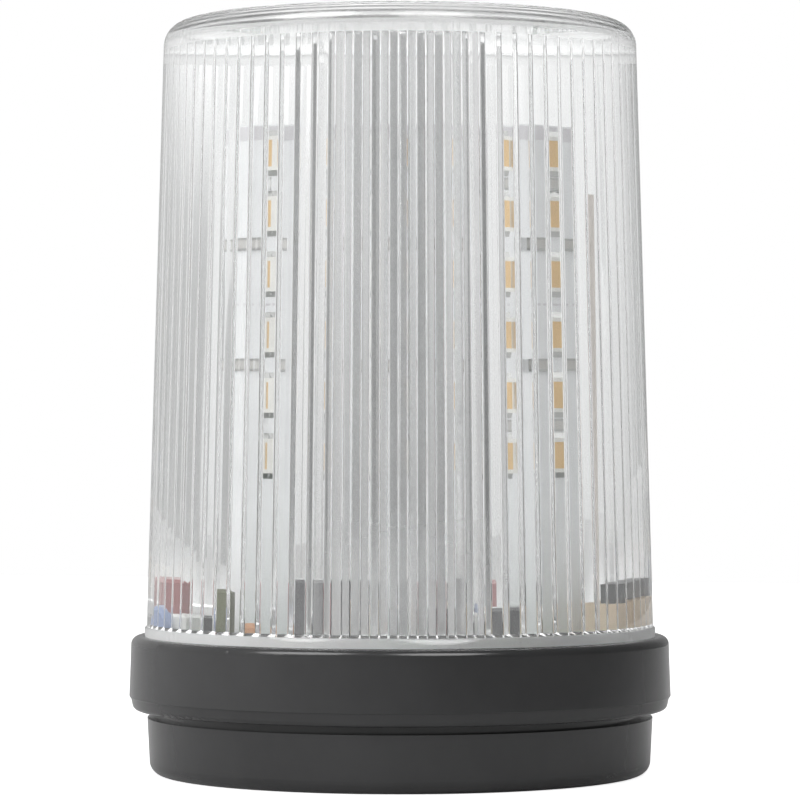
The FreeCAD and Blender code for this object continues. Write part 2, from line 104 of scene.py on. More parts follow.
# LED boards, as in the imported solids
FACES = ("front", "right", "back", "left")
LED_ROWS = 6
LED_PITCH = 10.0 * MM
LED_H = 5.7 * MM
CHIP_W = 1.3 * MM
CHIP_H = 2.0 * MM
CHIP_T = 0.55 * MM
CHIP_SIDE = 4.2 * MM
MID_CHIP_GAPS = (0, 4)
SIDE_CHIP_GAPS = (1, 3)
TOWER_W = 11.6 * MM
TOWER_FACE = -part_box("led_board_front")[0].y
TOWER_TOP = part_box("led_board_front")[1].z
LED_TOP_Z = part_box("leds_front")[1].z - LED_H / 2

# Solder, pads and tracks on the LED boards, and a grey strip across their tops
SOLDER_W = 2.4 * MM
SOLDER_RUN = 0.9 * MM
SOLDER_H = 0.5 * MM
SOLDER_EDGE = 0.06 * MM
CAP_W = 0.30 * MM
CAP_LAP = 0.03 * MM
LAND_T = 0.05 * MM
TOP_STRIP_H = 2.3 * MM
TOP_STRIP_MARGIN = 0.25 * MM
TEST_PAD = 0.7 * MM
TRACK_W = 0.5 * MM

# Pieces on the control board
TAPE_T = 0.12 * MM
TAPE_SPAN = (0.04, 0.78)
CAN_SHARE = 0.84
CAN_T = 0.06 * MM
CAN_SEGMENTS = 48
CAN_STEPS = 3
SCORE_W = 0.3 * MM
SCREW_AZIMUTHS = (50.0, 130.0, 230.0, 310.0)
SCREW_HEAD_R = 2.7 * MM
RECESS_W = 0.7 * MM
RECESS_LEN = 2.9 * MM
RECESS_LIFT = 0.02 * MM

# Camera
CAMERA_AZIMUTH = math.radians(15.37)
CAMERA_DISTANCE = 0.650
CAMERA_HEIGHT = 0.057
CAMERA_AIM = 0.062
CAMERA_LENS = 175.5
SENSOR = 36.0

# Studio seen through the lens: pairs of reach along a direction and level there
SIDE_STOPS = ((-0.25, 1.20), (0.0, 0.75), (0.26, 0.20), (0.5, 0.20), (0.72, 0.70), (0.87, 0.70),
              (0.97, 0.34))
SKY_STOPS = ((-0.11, 0.75), (-0.085, 0.52), (-0.07, 0.52), (-0.02, 0.68), (0.035, 0.78),
             (0.07, 0.98), (0.15, 1.15), (0.3, 1.7))
ACROSS_STOPS = ((-1.0, 1.10), (1.0, 0.99))
OVERHEAD_STOPS = ((0.12, 0.0), (0.35, 1.5))

# Studio seen in reflections, and the level of its soft light
GLOSS_AZIMUTH = CAMERA_AZIMUTH - math.radians(105.0)
GLOSS_STOPS = ((-1.0, 0.06), (0.0, 0.28), (0.6, 0.55), (1.0, 0.70))
BACKDROP_STOPS = ((0.86, 0.0), (0.90, 0.3))
PANEL_STOPS = ((0.95, 0.0), (0.97, 6.0))
PANEL_ELEVATION = math.radians(50.0)
PANEL_AZIMUTHS = (CAMERA_AZIMUTH - math.radians(54.0), CAMERA_AZIMUTH + math.radians(22.0))
AMBIENT = 0.55

# Screen at the right of the studio: its arc from the camera's side, and levels by height
SCREEN_R = 0.6
SCREEN_TOP = 0.17
SCREEN_ARC = (math.radians(92.0), math.radians(128.0))
SCREEN_STEPS = 24
SCREEN_STOPS = ((0.03, 0.38), (0.07, 0.46), (0.09, 0.56), (0.115, 0.90), (0.15, 1.4))

# Floor, with its glow to the camera, and through the lens as pairs of distance and level
FLOOR_HALF = 0.8
FLOOR_COLOUR = (0.8, 0.8, 0.8)
FLOOR_ROUGH = 0.9
FLOOR_GLOW = 0.85
FLOOR_GLOW_NEAR = (0.35, 0.50)
FLOOR_GLOW_FAR = (0.60, 0.08)

# Key lamp
KEY_AZIMUTH = math.radians(-50.0)
KEY_ELEVATION = math.radians(16.0)
KEY_DISTANCE = 1.2
KEY_SIZE = 0.6
KEY_POWER = 7.0
KEY_AIM = 0.06

# Clear plastic: roughness of its finishes, and haze, which a veil thickens below a height
LENS_TINT = (0.985, 0.99, 0.99)
LENS_IOR = 1.585
LENS_ROUGH = 0.004
FLUTE_ROUGH = 0.02
FOOT_ROUGH = 0.5
RIM_ROUGH = 0.2
HAZE = 0.012
VEIL = 0.10
VEIL_TOP = 0.045
FOOT_HAZE = 0.8
LENS_UNEVEN = 0.4

# Surface detail
CLOUD_SCALE = 55.0
CLOUD_DETAIL = 4.0
STREAK_SCALE = 90.0
GRAIN_SCALE = 2600.0
GRAIN_DETAIL = 2.0
GRAIN_DEPTH = 0.02 * MM
FINE_GRAIN_DEPTH = 0.01 * MM
NOISE_ROUGHNESS = 0.6
NOISE_SPAN = (0.3, 0.7)
COLOUR_SPREAD = 0.12
GLOSS_SPREAD = 0.12

# Plain colours, and the upright direction
WHITE = (1.0, 1.0, 1.0)
BLACK = (0.0, 0.0, 0.0)
UP = (0.0, 0.0, 1.0)

# Meshes in general: edges past this angle are sharp, and points this near the axis are poles
SHARP_ANGLE = math.radians(30.0)
POLE_R = 1e-6 * MM

# Light that goes on through many clear walls
CLEAR_BOUNCES = 32
GLOSSY_BOUNCES = 16


def polar(azimuth, radius, z):
    """Point at an azimuth, a distance from the axis and a height."""
    return (radius * math.sin(azimuth), -radius * math.cos(azimuth), z)


# Mesh helpers

def new_object(name, points, faces):
    """Mesh object in the scene."""
    mesh = bpy.data.meshes.new(name)
    mesh.from_pydata(points, [], faces)
    mesh.update()
    obj = bpy.data.objects.new(name, mesh)
    bpy.context.scene.collection.objects.link(obj)
    return obj


def shade(obj, sharp_angle=SHARP_ANGLE, flat=()):
    """Turn all faces outward and shade them smooth, with sharp edges past an angle."""
    work = bmesh.new()
    work.from_mesh(obj.data)
    bmesh.ops.recalc_face_normals(work, faces=work.faces)
    for face in work.faces:
        face.smooth = face.index not in flat
    for edge in work.edges:
        edge.smooth = edge.calc_face_angle(0.0) < sharp_angle
    work.to_mesh(obj.data)
    work.free()
    return obj


def rounded(corners, steps):
    """Outline through (radius, height, rounding) corners, with arcs at the rounded ones."""
    points = [Vector((r, z)) for r, z, _ in corners]
    count = len(points)
    outline = []
    for i, here in enumerate(points):
        rounding = corners[i][2]
        if not rounding:
            outline.append(here)
            continue
        back = (points[i - 1] - here).normalized()
        ahead = (points[(i + 1) % count] - here).normalized()
        outline.extend(corner_arc(here, back, ahead, rounding, steps))
    return outline


def corner_arc(here, back, ahead, rounding, steps):
    """Points of the arc that rounds a corner, from its back side to its ahead side."""
    half = back.angle(ahead) / 2
    centre = here + (back + ahead).normalized() * (rounding / math.sin(half))
    start = here + back * (rounding / math.tan(half)) - centre
    end = here + ahead * (rounding / math.tan(half)) - centre
    sweep = start.angle(end)
    arc = []
    for i in range(steps + 1):
        share = i / steps
        a = math.sin((1 - share) * sweep) / math.sin(sweep)
        b = math.sin(share * sweep) / math.sin(sweep)
        arc.append(centre + start * a + end * b)
    return arc


def lathe(name, outline, segments, x, y):
    """Solid of revolution of a closed outline in (radius, height); points on the axis are poles."""
    points = []
    rings = []
    for r, z in outline:
        if r < POLE_R:
            rings.append([len(points)] * segments)
            points.append((x, y, z))
            continue
        rings.append(list(range(len(points), len(points) + segments)))
        for i in range(segments):
            px, py, pz = polar(2 * math.pi * i / segments, r, z)
            points.append((x + px, y + py, pz))
    faces = []
    for low, high in zip(rings, rings[1:] + rings[:1]):
        if low[0] == low[1] and high[0] == high[1]:
            continue
        for i in range(segments):
            j = (i + 1) % segments
            face = [low[i], low[j], high[j], high[i]]
            faces.append(list(dict.fromkeys(face)))
    return shade(new_object(name, points, faces))


# Lens, with the places of its finishes in its list of materials

CLEAR, FLUTED, MATT, RIM = range(4)


def lens_radius(z):
    """Outer radius of the tapered wall at a height."""
    return LENS_FOOT_R - (z - FLUTE_LOW) * math.tan(LENS_DRAFT)


def valley_radius(z):
    """Radius of the flutes' valleys, and of the bore below them."""
    return lens_radius(z) - LENS_WALL


def crest_radius(z):
    """Radius of the flutes' crests, from their pitch and angle."""
    half_pitch = math.pi / FLUTE_COUNT
    slope = 1 / math.tan(FLUTE_ANGLE / 2)
    return valley_radius(z) * (math.cos(half_pitch) - math.sin(half_pitch) * slope)


def flute_ring(z):
    """Points of the fluted bore at a height, with small roundings at valleys and crests."""
    corners = []
    for i in range(2 * FLUTE_COUNT):
        radius = crest_radius(z) if i % 2 else valley_radius(z)
        corners.append(Vector(polar(i * math.pi / FLUTE_COUNT, radius, z)[:2]))
    ring = []
    for i, here in enumerate(corners):
        back = (corners[i - 1] - here).normalized()
        ahead = (corners[(i + 1) % len(corners)] - here).normalized()
        rounding, steps = (CREST_ROUND, CREST_STEPS) if i % 2 else (VALLEY_ROUND, VALLEY_STEPS)
        ring.extend(corner_arc(here, back, ahead, rounding, steps))
    return [(p.x, p.y, z) for p in ring]


def rim_outline():
    """Outline of the rounded rim and the crowned roof, from the wall to the axis."""
    rim_r = lens_radius(RIM_TOP)
    dome_r = (rim_r ** 2 + LENS_CROWN ** 2) / (2 * LENS_CROWN)
    dome_z = LENS_TOP - dome_r
    z = RIM_TOP - LENS_RIM_ROUND
    for _ in range(RIM_SETTLE_STEPS):
        r = lens_radius(z) - LENS_RIM_ROUND / math.cos(LENS_DRAFT)
        z = dome_z + math.sqrt((dome_r - LENS_RIM_ROUND) ** 2 - r ** 2)
    first = LENS_DRAFT
    last = math.atan2(z - dome_z, r)
    outline = []
    for i in range(RIM_STEPS + 1):
        a = first + (last - first) * i / RIM_STEPS
        outline.append((r + LENS_RIM_ROUND * math.cos(a), z + LENS_RIM_ROUND * math.sin(a)))
    edge = outline[-1][0]
    for i in range(1, CROWN_STEPS):
        crown_r = edge * (1 - i / CROWN_STEPS)
        outline.append((crown_r, dome_z + math.sqrt(dome_r ** 2 - crown_r ** 2)))
    return outline


def lens_rings(low, high, circle):
    """Rings of the lens from its roof's underside round to its crown, with the shading and the
    finish of the strip after each."""
    lip_low = LENS_FOOT + FLANGE_T
    rings = [
        (circle(crest_radius(FLUTE_HIGH), ROOF_LOW), True, CLEAR),
        (circle(crest_radius(FLUTE_HIGH), FLUTE_HIGH), False, CLEAR),
        (high, False, FLUTED),
        (low, False, CLEAR),
        (circle(valley_radius(FLUTE_LOW), FLUTE_LOW), False, MATT),
        (circle(valley_radius(FLUTE_LOW), LENS_FOOT), False, CLEAR),
        (circle(FLANGE_R, LENS_FOOT), False, CLEAR),
        (circle(FLANGE_R, lip_low), False, CLEAR),
        (circle(BEAD_R, lip_low), True, CLEAR),
        (circle(BEAD_R, FLUTE_LOW - BEAD_ROUND), True, CLEAR),
        (circle(BEAD_R - BEAD_ROUND, FLUTE_LOW), True, CLEAR),
        (circle(LENS_FOOT_R, FLUTE_LOW), True, CLEAR),
    ]
    for i, (r, z) in enumerate(rim_outline()):
        rings.append((circle(r, z), True, RIM if i < RIM_STEPS else CLEAR))
    return rings


def make_lens():
    """Lens with rounded flutes, as strips of faces between rings and a fan at each pole."""
    low = flute_ring(FLUTE_LOW + FLUTE_SLOPE)
    high = flute_ring(FLUTE_HIGH)
    azimuths = [math.atan2(x, -y) for x, y, _ in low]

    def circle(r, z):
        """Round ring with a point at each azimuth of the flutes' points."""
        return [polar(a, r, z) for a in azimuths]

    rings = lens_rings(low, high, circle)
    count = len(low)
    points = []
    faces = []
    flat = set()
    finishes = []
    for ring, _, _ in rings:
        points.extend(ring)
    for i, (_, smooth, finish) in enumerate(rings[:-1]):
        for k in range(count):
            j = (k + 1) % count
            if not smooth:
                flat.add(len(faces))
            faces.append((i * count + k, i * count + j, (i + 1) * count + j, (i + 1) * count + k))
            finishes.append(finish)
    roof_pole = len(points)
    crown_pole = roof_pole + 1
    points += [(0, 0, ROOF_LOW), (0, 0, LENS_TOP)]
    last = (len(rings) - 1) * count
    for k in range(count):
        j = (k + 1) % count
        flat.add(len(faces))
        faces.append((j, k, roof_pole))
        faces.append((last + k, last + j, crown_pole))
        finishes += [CLEAR, CLEAR]
    lens = shade(new_object("clear_lens", points, faces), LENS_SHARP_ANGLE, flat)
    for face, finish in zip(lens.data.polygons, finishes):
        face.material_index = finish
    return lens


# LED boards

HEX_FACES = ((0, 3, 2, 1), (4, 5, 6, 7), (0, 1, 5, 4), (1, 2, 6, 5), (2, 3, 7, 6), (3, 0, 4, 7))


def add_hex(shape, corners):
    """Add a six-sided block: four corners of its foot, then four of its top."""
    points, faces = shape
    first = len(points)
    points.extend(corners)
    for face in HEX_FACES:
        faces.append([first + k for k in face])


def add_on_face(shape, x, z, width, height, lift, low_end, high_end):
    """Add a block to the front board; its top may slope from its low end to its high end."""
    def ring(at_low_end, at_high_end):
        """Four corners at one height above the board for each end."""
        low_y = -TOWER_FACE - at_low_end
        high_y = -TOWER_FACE - at_high_end
        return [(x - width / 2, low_y, z - height / 2), (x + width / 2, low_y, z - height / 2),
                (x + width / 2, high_y, z + height / 2), (x - width / 2, high_y, z + height / 2)]
    add_hex(shape, ring(lift, lift) + ring(low_end, high_end))


def led_row_z(row):
    """Height of the middle of a row of LEDs, counted from the top."""
    return LED_TOP_Z - row * LED_PITCH


def chip_places():
    """Middles of the chips on a board."""
    places = [(0.0, led_row_z(gap) - LED_PITCH / 2) for gap in MID_CHIP_GAPS]
    for gap in SIDE_CHIP_GAPS:
        for side in (-1, 1):
            places.append((side * CHIP_SIDE, led_row_z(gap) - LED_PITCH / 2))
    return places


def led_solder():
    """Solder fillets above and below each LED and the solder-coated ends of the chips."""
    shape = ([], [])
    for row in range(LED_ROWS):
        z = led_row_z(row)
        offset = (LED_H + SOLDER_RUN) / 2
        add_on_face(shape, 0.0, z - offset, SOLDER_W, SOLDER_RUN, 0.0, SOLDER_EDGE, SOLDER_H)
        add_on_face(shape, 0.0, z + offset, SOLDER_W, SOLDER_RUN, 0.0, SOLDER_H, SOLDER_EDGE)
    for x, z in chip_places():
        for side in (-1, 1):
            end = z + side * (CHIP_H - CAP_W) / 2
            top = CHIP_T + CAP_LAP
            add_on_face(shape, x, end, CHIP_W + 2 * CAP_LAP, CAP_W + 2 * CAP_LAP, 0.0, top, top)
    return shape


def led_top_strip_and_pads():
    """Grey strip across the top of a board, and small test pads."""
    shape = ([], [])
    z = TOWER_TOP - TOP_STRIP_MARGIN - TOP_STRIP_H / 2
    add_on_face(shape, 0.0, z, TOWER_W - 2 * TOP_STRIP_MARGIN, TOP_STRIP_H, 0.0, LAND_T, LAND_T)
    for gap in range(LED_ROWS - 1):
        z = led_row_z(gap) - LED_PITCH / 2
        if gap in MID_CHIP_GAPS + SIDE_CHIP_GAPS:
            continue
        for x in (-CHIP_SIDE, -TEST_PAD, TEST_PAD, CHIP_SIDE):
            add_on_face(shape, x, z, TEST_PAD, TEST_PAD / 2, 0.0, LAND_T, LAND_T)
    return shape


def led_tracks():
    """Raised solder mask over the tracks that run down both sides of the LEDs."""
    shape = ([], [])
    height = LED_ROWS * LED_PITCH
    z = led_row_z(0) + LED_PITCH / 2 - height / 2
    for side in (-1, 1):
        x = side * (CHIP_SIDE - CHIP_W)
        add_on_face(shape, x, z, TRACK_W, height, 0.0, LAND_T / 2, LAND_T / 2)
    return shape


def add_to_faces(name, shape, slot, finish=None):
    """Put a copy of a front-face piece on each of the four LED boards."""
    for index, face in enumerate(FACES):
        obj = new_object(name + "_" + face, *shape)
        obj.data.transform(Matrix.Rotation(index * math.pi / 2, 4, "Z"))
        add_piece(shade(obj), "base", slot, finish=finish)


# Control board

def long_side(obj):
    """Direction of the longest level edge of a block."""
    points = obj.data.vertices
    best = Vector((0.0, 0.0, 0.0))
    for edge in obj.data.edges:
        along = points[edge.vertices[1]].co - points[edge.vertices[0]].co
        if abs(along.z) < TAPE_T and along.length > best.length:
            best = along
    return best.normalized()


def tape_band(node, low_share, high_share):
    """Thin tape wound round a block, between two shares of its height."""
    obj = nodes[node]
    along = long_side(obj)
    across = Vector((-along.y, along.x, 0.0))
    places = [obj.matrix_world @ v.co for v in obj.data.vertices]
    spans = []
    for axis in (along, across, Vector(UP)):
        reach = [axis.dot(p) for p in places]
        spans.append((min(reach), max(reach)))
    (a0, a1), (b0, b1), (z0, z1) = spans
    heights = [z0 + (z1 - z0) * share for share in (low_share, high_share)]
    loops = []
    for z in heights:
        for out in (0.0, TAPE_T):
            corners = ((a0 - out, b0 - out), (a1 + out, b0 - out),
                       (a1 + out, b1 + out), (a0 - out, b1 + out))
            loops.append([along * a + across * b + Vector((0.0, 0.0, z)) for a, b in corners])
    points = [p for loop in loops for p in loop]
    faces = []
    for first, second in ((0, 4), (4, 12), (12, 8), (8, 0)):
        for k in range(4):
            j = (k + 1) % 4
            faces.append((first + k, first + j, second + j, second + k))
    return shade(new_object(node + "_tape", points, faces))


def add_bar(shape, centre, length, width, height, turn):
    """Add a flat bar, level and turned about its middle."""
    along = Vector((math.cos(turn), math.sin(turn), 0.0)) * (length / 2)
    across = Vector((-math.sin(turn), math.cos(turn), 0.0)) * (width / 2)
    foot = [centre - along - across, centre + along - across,
            centre + along + across, centre - along + across]
    add_hex(shape, foot + [p + Vector((0.0, 0.0, height)) for p in foot])


def add_cross(shape, centre, length, width, height):
    """Add two bars that cross at right angles."""
    for turn in (0.0, math.pi / 2):
        add_bar(shape, centre, length, width, height, turn + math.pi / 4)


def node_top(node):
    """Middle of a node's top and its radius."""
    low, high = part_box(node)
    return Vector(((low.x + high.x) / 2, (low.y + high.y) / 2, high.z)), (high.x - low.x) / 2


def add_can_top(node, score):
    """Bare metal end of a capacitor in its sleeve, with a vent scored into it."""
    top, radius = node_top(node)
    r = radius * CAN_SHARE
    high = top.z + CAN_T
    corners = [(0.0, top.z, 0), (r, top.z, 0), (r, high, CAN_T / 2), (0.0, high, 0)]
    can = lathe(node + "_end", rounded(corners, CAN_STEPS), CAN_SEGMENTS, top.x, top.y)
    add_piece(can, "base", "screw_steel")
    add_cross(score, top + Vector((0.0, 0.0, CAN_T)), 2 * r * CAN_SHARE, SCORE_W, RECESS_LIFT)


def screw_recesses():
    """Cross recesses in the heads of the board's screws."""
    shape = ([], [])
    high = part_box("board_screws")[1]
    first = math.radians(SCREW_AZIMUTHS[0])
    ring_r = (high.x - SCREW_HEAD_R) / math.sin(first)
    for azimuth in SCREW_AZIMUTHS:
        place = Vector(polar(math.radians(azimuth), ring_r, high.z))
        add_cross(shape, place, RECESS_LEN, RECESS_W, RECESS_LIFT)
    return shape


# Materials

def new_material(name):
    """Material with one principled shader."""
    material = bpy.data.materials.new(name)
    material.use_nodes = True
    tree = material.node_tree
    tree.nodes.clear()
    output = tree.nodes.new("ShaderNodeOutputMaterial")
    shader = tree.nodes.new("ShaderNodeBsdfPrincipled")
    tree.links.new(shader.outputs["BSDF"], output.inputs["Surface"])
    return material, tree, shader, output


def noise(tree, scale, detail=CLOUD_DETAIL):
    """Noise in the object's own coordinates."""
    place = tree.nodes.new("ShaderNodeTexCoord")
    texture = tree.nodes.new("ShaderNodeTexNoise")
    texture.inputs["Scale"].default_value = scale
    texture.inputs["Detail"].default_value = detail
    texture.inputs["Roughness"].default_value = NOISE_ROUGHNESS
    tree.links.new(place.outputs["Object"], texture.inputs["Vector"])
    return texture.outputs["Fac"]


def ramp(tree, value, low, high):
    """Colour between two colours, by the middle span of a noise."""
    node = tree.nodes.new("ShaderNodeValToRGB")
    for mark, place, colour in zip(node.color_ramp.elements, NOISE_SPAN, (low, high)):
        mark.position = place
        mark.color = (*colour, 1.0)
    tree.links.new(value, node.inputs["Fac"])
    return node.outputs["Color"]


def bump(tree, shader, value, depth):
    """Fine relief of a given depth."""
    node = tree.nodes.new("ShaderNodeBump")
    node.inputs["Strength"].default_value = 1.0
    node.inputs["Distance"].default_value = depth
    tree.links.new(value, node.inputs["Height"])
    tree.links.new(node.outputs["Normal"], shader.inputs["Normal"])


def shift(colour, factor):
    """Colour made darker or paler, up to white."""
    return tuple(min(1.0, c * factor) for c in colour)


def mapped(tree, value, start, end, low, high):
    """Value that goes from low to high as another goes from start to end."""
    node = tree.nodes.new("ShaderNodeMapRange")
    node.inputs["From Min"].default_value = start
    node.inputs["From Max"].default_value = end
    node.inputs["To Min"].default_value = low
    node.inputs["To Max"].default_value = high
    tree.links.new(value, node.inputs["Value"])
    return node.outputs["Result"]


def moulded(name, colour, roughness, spread=COLOUR_SPREAD, depth=GRAIN_DEPTH, metallic=0.0):
    """Moulded or coated surface: cloudy colour, uneven gloss and a fine grain."""
    material, tree, shader, _ = new_material(name)
    clouds = noise(tree, CLOUD_SCALE)
    colours = ramp(tree, clouds, shift(colour, 1 - spread), shift(colour, 1 + spread))
    tree.links.new(colours, shader.inputs["Base Color"])
    fine = noise(tree, GRAIN_SCALE, GRAIN_DETAIL)
    smoother, rougher = roughness * (1 - GLOSS_SPREAD), roughness * (1 + GLOSS_SPREAD)
    tree.links.new(mapped(tree, fine, 0.0, 1.0, smoother, rougher), shader.inputs["Roughness"])
    shader.inputs["Metallic"].default_value = metallic
    bump(tree, shader, fine, depth)
    return material


def clear_plastic(name, haze, veil, roughness):
    """Clear moulded plastic that lets light through, hazier towards its foot where veiled."""
    material, tree, shader, output = new_material(name)
    shader.inputs["Base Color"].default_value = (*LENS_TINT, 1.0)
    shader.inputs["IOR"].default_value = LENS_IOR
    shader.inputs["Transmission Weight"].default_value = 1.0 - haze
    if veil > haze:
        place = tree.nodes.new("ShaderNodeTexCoord")
        height = tree.nodes.new("ShaderNodeSeparateXYZ")
        tree.links.new(place.outputs["Object"], height.inputs["Vector"])
        clearness = mapped(tree, height.outputs["Z"], FLUTE_LOW, VEIL_TOP, 1.0 - veil, 1.0 - haze)
        tree.links.new(clearness, shader.inputs["Transmission Weight"])
    smoother, rougher = roughness * (1 - LENS_UNEVEN), roughness * (1 + LENS_UNEVEN)
    gloss = mapped(tree, noise(tree, STREAK_SCALE), *NOISE_SPAN, smoother, rougher)
    tree.links.new(gloss, shader.inputs["Roughness"])
    rays = tree.nodes.new("ShaderNodeLightPath")
    clear = tree.nodes.new("ShaderNodeBsdfTransparent")
    mix = tree.nodes.new("ShaderNodeMixShader")
    tree.links.new(rays.outputs["Is Shadow Ray"], mix.inputs["Fac"])
    tree.links.new(shader.outputs["BSDF"], mix.inputs[1])
    tree.links.new(clear.outputs["BSDF"], mix.inputs[2])
    tree.links.new(mix.outputs["Shader"], output.inputs["Surface"])
    return material


MATERIALS = {
    "clear_lens": clear_plastic("clear_lens", HAZE, HAZE, LENS_ROUGH),
    "grey_housing": moulded("grey_housing", (0.044, 0.044, 0.045), 0.17, depth=FINE_GRAIN_DEPTH),
    "seal_rubber": moulded("seal_rubber", (0.02, 0.02, 0.02), 0.7),
    "board_green": moulded("board_green", (0.03, 0.16, 0.07), 0.35),
    "board_white": moulded("board_white", (0.86, 0.87, 0.88), 0.35, spread=0.05),
    "screw_steel": moulded("screw_steel", (0.62, 0.62, 0.62), 0.3, metallic=1.0),
    "post_white": moulded("post_white", (0.75, 0.75, 0.74), 0.4),
    "led_white": moulded("led_white", (0.85, 0.84, 0.80), 0.4),
    "led_phosphor": moulded("led_phosphor", (0.80, 0.56, 0.29), 0.3),
    "chip_black": moulded("chip_black", (0.06, 0.06, 0.062), 0.4),
    "terminal_black": moulded("terminal_black", (0.035, 0.037, 0.04), 0.45),
    "capacitor_black": moulded("capacitor_black", (0.07, 0.07, 0.075), 0.3),
    "ferrite": moulded("ferrite", (0.23, 0.23, 0.235), 0.6),
    "winding_tape": moulded("winding_tape", (0.92, 0.74, 0.57), 0.3),
    "varistor_blue": moulded("varistor_blue", (0.20, 0.28, 0.50), 0.3),
    "disc_orange": moulded("disc_orange", (0.55, 0.28, 0.14), 0.3),
    "film_red": moulded("film_red", (0.34, 0.12, 0.12), 0.3),
    "choke_olive": moulded("choke_olive", (0.10, 0.11, 0.05), 0.4),
    "jumper_white": moulded("jumper_white", (0.82, 0.82, 0.80), 0.35),
    "aerial_sheath": moulded("aerial_sheath", (0.93, 0.87, 0.82), 0.35, spread=0.06),
}


def dress_nodes(finishes):
    """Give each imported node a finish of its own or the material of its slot."""
    for part in frame["record"]["subparts"]:
        obj = nodes[part["node"]]
        for place in obj.material_slots:
            place.material = finishes.get(part["node"], MATERIALS[part["material_slot"]])


def add_piece(obj, body, slot, *replaced, finish=None):
    """Hand a piece over to its body, with its slot's material or a finish of its own."""
    obj.data.materials.append(finish or MATERIALS[slot])
    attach(obj, body)
    if replaced:
        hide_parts(*replaced)


# Stage

def level_along(tree, direction, towards, stops):
    """Grey level by how far a direction points towards another, from pairs of reach and level."""
    product = tree.nodes.new("ShaderNodeVectorMath")
    product.operation = "DOT_PRODUCT"
    product.inputs[1].default_value = towards
    tree.links.new(direction, product.inputs[0])
    first = stops[0][0]
    last = stops[-1][0]
    reach = mapped(tree, product.outputs["Value"], first, last, 0.0, 1.0)
    node = tree.nodes.new("ShaderNodeValToRGB")
    marks = node.color_ramp.elements
    for _ in stops[2:]:
        marks.new(0.5)
    for mark, (place, level) in zip(marks, stops):
        mark.position = (place - first) / (last - first)
        mark.color = (level, level, level, 1.0)
    tree.links.new(reach, node.inputs["Fac"])
    return node.outputs["Color"]


def combined(tree, operation, first, second):
    """Two values worked into one."""
    node = tree.nodes.new("ShaderNodeMath")
    node.operation = operation
    tree.links.new(first, node.inputs[0])
    tree.links.new(second, node.inputs[1])
    return node.outputs["Value"]


def scaled(tree, value, factor):
    """Value times a fixed factor."""
    node = tree.nodes.new("ShaderNodeMath")
    node.operation = "MULTIPLY"
    node.inputs[1].default_value = factor
    tree.links.new(value, node.inputs[0])
    return node.outputs["Value"]


def switched(tree, factor, off, on):
    """One background or another, by a ray's kind."""
    node = tree.nodes.new("ShaderNodeMixShader")
    tree.links.new(factor, node.inputs["Fac"])
    tree.links.new(off, node.inputs[1])
    tree.links.new(on, node.inputs[2])
    return node.outputs["Shader"]


def background(tree, strength, level=None):
    """White background of a fixed strength, or of a level worked out for each direction."""
    node = tree.nodes.new("ShaderNodeBackground")
    node.inputs["Color"].default_value = (*WHITE, 1.0)
    node.inputs["Strength"].default_value = strength
    if level is not None:
        tree.links.new(level, node.inputs["Strength"])
    return node.outputs["Background"]


def seen_through(tree, way):
    """Level of the studio through the lens: graded round the camera, upwards and across."""
    side = level_along(tree, way, polar(CAMERA_AZIMUTH, 1.0, 0.0), SIDE_STOPS)
    sky = level_along(tree, way, UP, SKY_STOPS)
    across = level_along(tree, way, polar(CAMERA_AZIMUTH + math.pi / 2, 1.0, 0.0), ACROSS_STOPS)
    level = combined(tree, "MULTIPLY", combined(tree, "MULTIPLY", side, sky), across)
    return combined(tree, "MAXIMUM", level, level_along(tree, way, UP, OVERHEAD_STOPS))


def seen_mirrored(tree, way):
    """Level of the studio in reflections: a wide lobe, the backdrop and two panels."""
    level = level_along(tree, way, polar(GLOSS_AZIMUTH, 1.0, 0.0), GLOSS_STOPS)
    behind = polar(CAMERA_AZIMUTH + math.pi, 1.0, 0.0)
    level = combined(tree, "MAXIMUM", level, level_along(tree, way, behind, BACKDROP_STOPS))
    for azimuth in PANEL_AZIMUTHS:
        towards = polar(azimuth, math.cos(PANEL_ELEVATION), math.sin(PANEL_ELEVATION))
        level = combined(tree, "MAXIMUM", level, level_along(tree, way, towards, PANEL_STOPS))
    return level


def make_world():
    """White to the camera; a graded studio through the lens and in reflections; soft light."""
    world = bpy.data.worlds.new("studio")
    bpy.context.scene.world = world
    world.use_nodes = True
    tree = world.node_tree
    tree.nodes.clear()
    output = tree.nodes.new("ShaderNodeOutputWorld")
    way = tree.nodes.new("ShaderNodeTexCoord").outputs["Generated"]
    rays = tree.nodes.new("ShaderNodeLightPath")
    through = background(tree, 1.0, seen_through(tree, way))
    mirrored = background(tree, 1.0, seen_mirrored(tree, way))
    shader = background(tree, AMBIENT)
    shader = switched(tree, rays.outputs["Is Glossy Ray"], shader, mirrored)
    shader = switched(tree, rays.outputs["Is Transmission Ray"], shader, through)
    shader = switched(tree, rays.outputs["Is Camera Ray"], shader, background(tree, 1.0))
    tree.links.new(shader, output.inputs["Surface"])


def floor_glow(tree):
    """Level of the floor's glow: white to the camera, and falling with distance through the lens."""
    rays = tree.nodes.new("ShaderNodeLightPath")
    seen = scaled(tree, rays.outputs["Is Camera Ray"], FLOOR_GLOW)
    place = tree.nodes.new("ShaderNodeTexCoord")
    distance = tree.nodes.new("ShaderNodeVectorMath")
    distance.operation = "LENGTH"
    tree.links.new(place.outputs["Object"], distance.inputs[0])
    near, near_level = FLOOR_GLOW_NEAR
    far, far_level = FLOOR_GLOW_FAR
    level = mapped(tree, distance.outputs["Value"], near, far, near_level, far_level)
    through = combined(tree, "MULTIPLY", rays.outputs["Is Transmission Ray"], level)
    return combined(tree, "ADD", seen, through)


